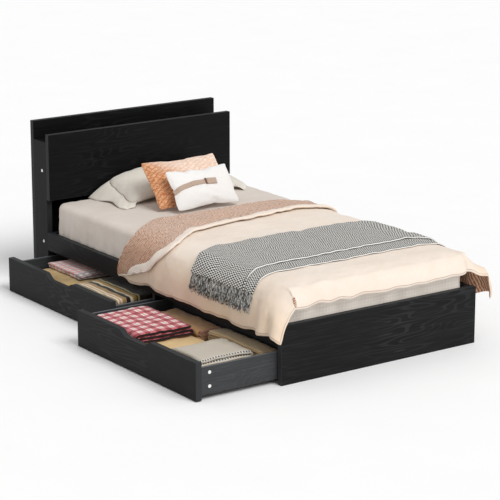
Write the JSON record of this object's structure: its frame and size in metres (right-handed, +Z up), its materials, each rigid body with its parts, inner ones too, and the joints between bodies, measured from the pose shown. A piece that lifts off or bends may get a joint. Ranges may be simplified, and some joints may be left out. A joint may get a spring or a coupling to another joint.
{
  "type": "platform bed with storage drawers",
  "caption": "Low twin platform bed with a trough headboard, drawers that roll out of its left side, a mattress and made-up bedding.",
  "frame": {"origin": "on the floor at the middle of the bed, at the centre of the middle leg's foot", "axes": "+X to the sleeper's right seen from the foot, +Y towards the headboard, +Z up; the drawers open towards -X"},
  "size_m": [1.5437, 2.117, 0.792],
  "materials": {
    "black_oak": "satin oak-grain laminate",
    "drawer_board": "satin oak-grain laminate",
    "pine": "planed",
    "white_plastic": "matte",
    "black_plastic": "matte",
    "zinc_steel": "zinc plated",
    "mattress_ticking": "tufted knit",
    "greige_cotton": "soft cotton",
    "cream_quilt": "soft cotton",
    "houndstooth": "woven wool",
    "pale_linen": "washed linen",
    "peach_crinkle": "crinkled",
    "white_cotton": "cotton",
    "beige_strap": "woven strap",
    "tan_cotton": "woven",
    "brown_cotton": "woven",
    "red_plaid": "brushed cotton",
    "cream_knit": "knitted",
    "burlap": "burlap weave",
    "small_plaid": "brushed cotton",
    "striped_towel": "woven stripes"
  },
  "bodies": {
    "root": {"footboard": "black_oak", "left_rail": "black_oak", "right_side_panel": "black_oak", "drawer_divider": "black_oak", "head_cross_rail": "black_oak", "headboard_back_panel": "black_oak", "headboard_front_panel": "black_oak", "headboard_left_side": "black_oak", "headboard_right_side": "black_oak", "headboard_centre_panel": "black_oak", "headboard_shelf": "black_oak", "centre_beam": "pine", "centre_legs": "pine", "slats": "pine", "slat_cleat_left": "pine", "slat_cleat_right": "pine", "frame_cam_covers": "white_plastic", "corner_brackets": "zinc_steel", "bracket_screws": "zinc_steel", "mattress": "mattress_ticking", "fitted_sheet": "greige_cotton", "duvet": "cream_quilt", "throw_blanket": "houndstooth", "sleeping_pillow": "pale_linen", "peach_cushion": "peach_crinkle", "lumbar_pillow": "white_cotton", "lumbar_strap": "beige_strap"},
    "near_drawer": {"near_drawer_front": "black_oak", "near_drawer_foot_side": "drawer_board", "near_drawer_head_side": "drawer_board", "near_drawer_back": "drawer_board", "near_drawer_bottom": "drawer_board", "near_drawer_cam_covers": "white_plastic", "near_caster_brackets": "zinc_steel", "near_caster_axles": "zinc_steel", "near_tan_cloth": "tan_cotton", "near_red_plaid_cloth": "red_plaid", "near_cream_knit_cloth": "cream_knit", "near_fringed_tan_cloth": "brown_cotton", "near_striped_tan_cloth": "tan_cotton"},
    "near_wheel_front_foot": {"near_wheel_front_foot": "black_plastic"},
    "near_wheel_front_head": {"near_wheel_front_head": "black_plastic"},
    "near_wheel_back_foot": {"near_wheel_back_foot": "black_plastic"},
    "near_wheel_back_head": {"near_wheel_back_head": "black_plastic"},
    "far_drawer": {"far_drawer_front": "black_oak", "far_drawer_foot_side": "drawer_board", "far_drawer_head_side": "drawer_board", "far_drawer_back": "drawer_board", "far_drawer_bottom": "drawer_board", "far_drawer_cam_covers": "white_plastic", "far_caster_brackets": "zinc_steel", "far_caster_axles": "zinc_steel", "far_burlap_cloth": "burlap", "far_small_plaid_cloth": "small_plaid", "far_striped_towels": "striped_towel"},
    "far_wheel_front_foot": {"far_wheel_front_foot": "black_plastic"},
    "far_wheel_front_head": {"far_wheel_front_head": "black_plastic"},
    "far_wheel_back_foot": {"far_wheel_back_foot": "black_plastic"},
    "far_wheel_back_head": {"far_wheel_back_head": "black_plastic"}
  },
  "joints": [
    {"name": "near_drawer_slide", "type": "slide", "parent": "root", "child": "near_drawer", "axis": [-1, 0, 0], "range_m": [-0.4057, 0.0743]},
    {"name": "near_wheel_front_foot_roll", "type": "hinge", "parent": "near_drawer", "child": "near_wheel_front_foot", "pos_m": [-0.8757, -0.8875, 0.013], "axis": [0, -1, 0], "range_deg": [-1790, 330]},
    {"name": "near_wheel_front_head_roll", "type": "hinge", "parent": "near_drawer", "child": "near_wheel_front_head", "pos_m": [-0.8757, -0.19, 0.013], "axis": [0, -1, 0], "range_deg": [-1790, 330]},
    {"name": "near_wheel_back_foot_roll", "type": "hinge", "parent": "near_drawer", "child": "near_wheel_back_foot", "pos_m": [-0.4857, -0.8875, 0.013], "axis": [0, -1, 0], "range_deg": [-1790, 330]},
    {"name": "near_wheel_back_head_roll", "type": "hinge", "parent": "near_drawer", "child": "near_wheel_back_head", "pos_m": [-0.4857, -0.19, 0.013], "axis": [0, -1, 0], "range_deg": [-1790, 330]},
    {"name": "far_drawer_slide", "type": "slide", "parent": "root", "child": "far_drawer", "axis": [-1, 0, 0], "range_m": [-0.2197, 0.2603]},
    {"name": "far_wheel_front_foot_roll", "type": "hinge", "parent": "far_drawer", "child": "far_wheel_front_foot", "pos_m": [-0.6897, 0.074, 0.013], "axis": [0, -1, 0], "range_deg": [-970, 1150]},
    {"name": "far_wheel_front_head_roll", "type": "hinge", "parent": "far_drawer", "child": "far_wheel_front_head", "pos_m": [-0.6897, 0.7715, 0.013], "axis": [0, -1, 0], "range_deg": [-970, 1150]},
    {"name": "far_wheel_back_foot_roll", "type": "hinge", "parent": "far_drawer", "child": "far_wheel_back_foot", "pos_m": [-0.2997, 0.074, 0.013], "axis": [0, -1, 0], "range_deg": [-970, 1150]},
    {"name": "far_wheel_back_head_roll", "type": "hinge", "parent": "far_drawer", "child": "far_wheel_back_head", "pos_m": [-0.2997, 0.7715, 0.013], "axis": [0, -1, 0], "range_deg": [-970, 1150]}
  ],
  "couplings": [
    {"joint": "near_wheel_front_foot_roll", "follows": "near_drawer_slide", "rad_per_m": 76.923},
    {"joint": "near_wheel_front_head_roll", "follows": "near_drawer_slide", "rad_per_m": 76.923},
    {"joint": "near_wheel_back_foot_roll", "follows": "near_drawer_slide", "rad_per_m": 76.923},
    {"joint": "near_wheel_back_head_roll", "follows": "near_drawer_slide", "rad_per_m": 76.923},
    {"joint": "far_wheel_front_foot_roll", "follows": "far_drawer_slide", "rad_per_m": 76.923},
    {"joint": "far_wheel_front_head_roll", "follows": "far_drawer_slide", "rad_per_m": 76.923},
    {"joint": "far_wheel_back_foot_roll", "follows": "far_drawer_slide", "rad_per_m": 76.923},
    {"joint": "far_wheel_back_head_roll", "follows": "far_drawer_slide", "rad_per_m": 76.923}
  ]
}
